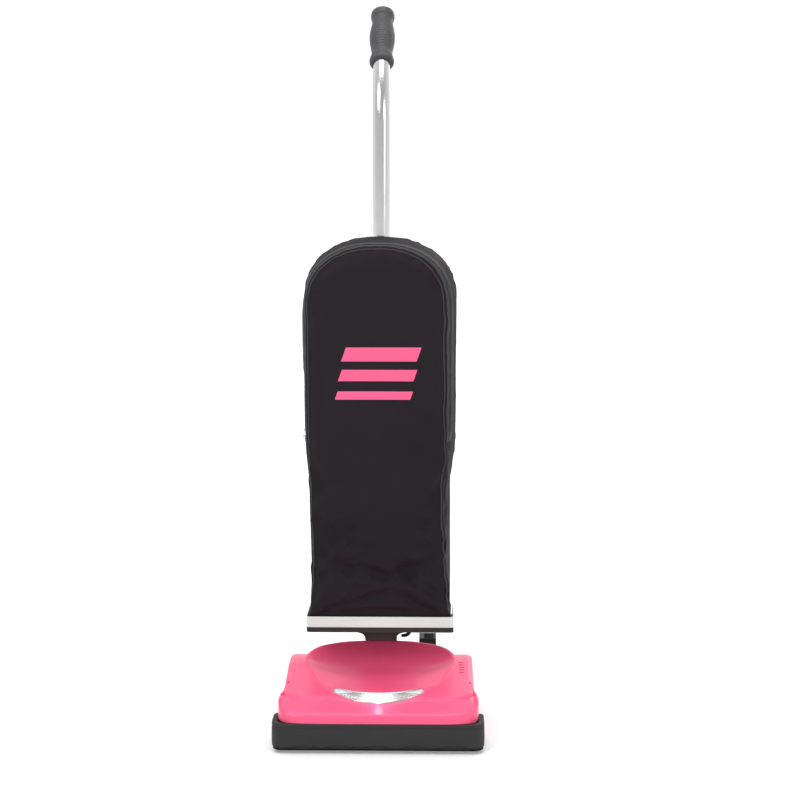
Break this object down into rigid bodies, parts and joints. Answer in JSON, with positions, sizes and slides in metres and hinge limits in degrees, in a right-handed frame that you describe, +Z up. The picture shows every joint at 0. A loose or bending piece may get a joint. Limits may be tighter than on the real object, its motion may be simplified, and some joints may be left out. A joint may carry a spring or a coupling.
{
  "type": "upright vacuum cleaner",
  "caption": "Light upright vacuum cleaner with a moulded motor base, headlight, wrap-round bumper, zipped cloth bag on a clamp plate and a bent metal handle tube with a rubber grip.",
  "frame": {"origin": "on the floor under the middle of the model's box, midway between the sides of the base", "axes": "+Z up, -Y towards the front of the base, +X to the right of someone who faces the front"},
  "size_m": [0.328, 0.3542, 1.1572],
  "materials": {
    "pink_plastic": "gloss",
    "black_plastic": "satin",
    "bumper_rubber": "matte",
    "grip_rubber": "matte",
    "tyre_rubber": "matte",
    "satin_steel": "satin",
    "tube_metal": "satin anodised",
    "plated_steel": "polished",
    "bag_cloth": "woven nylon",
    "zip_tape": "woven tape",
    "filter_paper": "matte",
    "clear_lens": "clear",
    "reflector": "mirror",
    "brass": "satin",
    "copper": "satin",
    "grey_plastic": "satin",
    "bristle": "nylon",
    "laminations": "satin"
  },
  "bodies": {
    "base": {"bumper": "bumper_rubber", "chassis": "black_plastic", "sole_plate": "satin_steel", "glide_pads": "black_plastic", "hood": "pink_plastic", "hood_screws": "plated_steel", "sole_screws": "plated_steel", "headlight_lens": "clear_lens", "headlight_reflector": "reflector", "headlight_bulb": "clear_lens", "lamp_holder": "brass", "brush_end_left": "black_plastic", "brush_end_right": "black_plastic", "drive_belt": "tyre_rubber", "belt_cover": "black_plastic", "motor_can": "satin_steel", "motor_end_left": "grey_plastic", "motor_end_right": "grey_plastic", "stator": "laminations", "carbon_brushes": "brass", "fan_housing": "black_plastic", "intake_duct": "black_plastic", "exhaust_duct": "black_plastic", "pivot_cheeks": "black_plastic", "pivot_bushes": "brass", "rear_axle": "satin_steel", "power_switch": "grey_plastic", "pedal_bracket": "black_plastic", "pedal_pin": "satin_steel", "pedal_spring": "plated_steel"},
    "brush": {"brush_shaft": "satin_steel", "brush_core": "black_plastic", "brush_bristles": "bristle"},
    "rotor": {"motor_shaft": "satin_steel", "armature": "laminations", "commutator": "copper", "motor_pulley": "satin_steel", "suction_fan": "grey_plastic"},
    "wheel_l": {"wheel_left": "grey_plastic", "tyre_left": "tyre_rubber"},
    "wheel_r": {"wheel_right": "grey_plastic", "tyre_right": "tyre_rubber"},
    "pedal": {"foot_pedal": "black_plastic"},
    "handle": {"handle_yoke": "black_plastic", "supply_lead": "black_plastic", "bag_plate": "black_plastic", "plate_screws": "plated_steel", "clamp_strip": "tube_metal", "dock_seal": "tyre_rubber", "fill_tube": "black_plastic", "filter_bag": "filter_paper", "outer_bag": "bag_cloth", "bag_zipper": "zip_tape", "bag_clip": "black_plastic", "handle_tube": "tube_metal", "cord_gland": "black_plastic", "cord_hook_lower": "black_plastic", "hook_mount": "black_plastic", "grip": "grip_rubber"},
    "hook": {"cord_hook_upper": "black_plastic"}
  },
  "joints": [
    {"name": "handle_recline", "type": "hinge", "parent": "base", "child": "handle", "pos_m": [0, 0.056, 0.058], "axis": [-1, 0, 0], "range_deg": [0, 80]},
    {"name": "motor_spin", "type": "hinge", "parent": "base", "child": "rotor", "pos_m": [0, -0.012, 0.046], "axis": [1, 0, 0], "continuous": true},
    {"name": "brush_spin", "type": "hinge", "parent": "base", "child": "brush", "pos_m": [0, -0.135, 0.0275], "axis": [1, 0, 0], "continuous": true},
    {"name": "wheel_left_spin", "type": "hinge", "parent": "base", "child": "wheel_l", "pos_m": [-0.115, 0.051, 0.027], "axis": [1, 0, 0], "continuous": true},
    {"name": "wheel_right_spin", "type": "hinge", "parent": "base", "child": "wheel_r", "pos_m": [0.115, 0.051, 0.027], "axis": [1, 0, 0], "continuous": true},
    {"name": "pedal_press", "type": "hinge", "parent": "base", "child": "pedal", "pos_m": [0.076, 0.04, 0.102], "axis": [-1, 0, 0], "range_deg": [0, 10], "stiffness_Nm_per_rad": 0.3, "springref_deg": -11.46},
    {"name": "hook_swivel", "type": "hinge", "parent": "handle", "child": "hook", "pos_m": [0, 0.0765, 0.7], "axis": [0, 1, 0], "range_deg": [0, 180]}
  ],
  "couplings": [
    {"joint": "brush_spin", "follows": "motor_spin", "ratio": 0.5}
  ]
}
